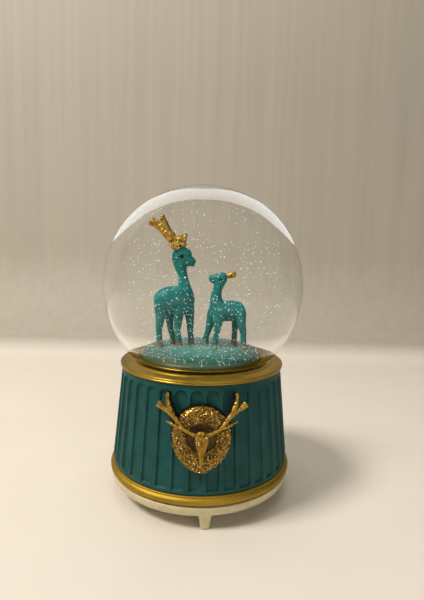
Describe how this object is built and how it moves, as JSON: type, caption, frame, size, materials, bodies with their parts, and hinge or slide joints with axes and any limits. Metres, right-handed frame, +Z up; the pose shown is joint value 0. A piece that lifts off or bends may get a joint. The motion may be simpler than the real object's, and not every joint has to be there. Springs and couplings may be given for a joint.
{
  "type": "snow globe",
  "caption": "Glass snow globe with two teal deer on a fluted round base with gold trims, a deer-head medallion, and a wind-up musical movement inside.",
  "frame": {"origin": "centre of the circle the three feet stand in, on the table under the globe's vertical axis", "axes": "+Z up along the globe's axis; -Y is the front with the medallion; +X is to the right seen from the front"},
  "size_m": [0.1, 0.1, 0.1538],
  "materials": {
    "glass": "clear polished blown glass",
    "gold_paint": "hand-painted metallic gold, satin, worn darker in the hollows",
    "dark_gold": "dark antique gold paint, satin",
    "drum_teal": "satin teal paint on cast resin",
    "figure_teal": "teal paint on cast resin, dusted with white glitter",
    "cream": "satin moulded cream plastic",
    "rubber": "matte black rubber",
    "steel": "fine-ground steel",
    "plated_steel": "nickel-plated steel",
    "brass_slot": "turned brass",
    "zinc": "die-cast grey metal, fine matte grain",
    "nylon": "natural moulded nylon"
  },
  "bodies": {
    "globe_and_base": {"glass_globe": "glass", "sealing_bung": "rubber", "filler_plug": "rubber", "snow_mound": "figure_teal", "stag": "figure_teal", "fawn": "figure_teal", "stag_antler_near": "gold_paint", "stag_antler_far": "gold_paint", "stag_wreath": "gold_paint", "fawn_horn": "gold_paint", "collar_ring": "gold_paint", "base_shell": "drum_teal", "lower_band": "gold_paint", "bottom_tray": "cream", "medallion_plate": "dark_gold", "medallion_wreath": "gold_paint", "trophy_head": "gold_paint", "trophy_antler_left": "gold_paint", "trophy_antler_right": "gold_paint", "movement_bedplate": "zinc", "barrel_bridge": "zinc", "governor_bracket": "zinc", "tuned_comb": "steel", "tray_screw_1": "plated_steel", "movement_screw_1": "plated_steel", "tray_screw_2": "plated_steel", "movement_screw_2": "plated_steel", "tray_screw_3": "plated_steel", "movement_screw_3": "plated_steel", "comb_screw_1": "steel", "bracket_screw_1": "steel", "comb_screw_2": "steel", "bracket_screw_2": "steel"},
    "winding": {"winding_key": "plated_steel", "winding_arbor": "steel"},
    "barrel": {"spring_barrel": "brass_slot", "great_wheel": "brass_slot", "mainspring": "steel"},
    "cylinder": {"pinned_cylinder": "brass_slot", "cylinder_arbor": "steel", "cylinder_wheel": "brass_slot"},
    "governor": {"governor_arbor": "steel", "governor_wheel": "nylon"},
    "fly": {"fly_worm": "steel", "air_brake": "nylon"}
  },
  "joints": [
    {"name": "key_winding", "type": "hinge", "parent": "globe_and_base", "child": "winding", "pos_m": [-0.012, 0, 0], "axis": [0, 0, 1], "continuous": true},
    {"name": "barrel_turn", "type": "hinge", "parent": "globe_and_base", "child": "barrel", "pos_m": [-0.012, 0, 0.02], "axis": [0, 0, 1], "continuous": true},
    {"name": "cylinder_turn", "type": "hinge", "parent": "globe_and_base", "child": "cylinder", "pos_m": [0, 0, 0.031], "axis": [1, 0, 0], "continuous": true},
    {"name": "governor_turn", "type": "hinge", "parent": "globe_and_base", "child": "governor", "pos_m": [0, 0.00885, 0.031], "axis": [1, 0, 0], "continuous": true},
    {"name": "fly_turn", "type": "hinge", "parent": "globe_and_base", "child": "fly", "pos_m": [0.0242, 0.01455, 0.031], "axis": [0, 0, 1], "continuous": true}
  ],
  "couplings": [
    {"joint": "cylinder_turn", "follows": "barrel_turn", "ratio": 3},
    {"joint": "governor_turn", "follows": "barrel_turn", "ratio": -12},
    {"joint": "fly_turn", "follows": "barrel_turn", "ratio": 120}
  ]
}
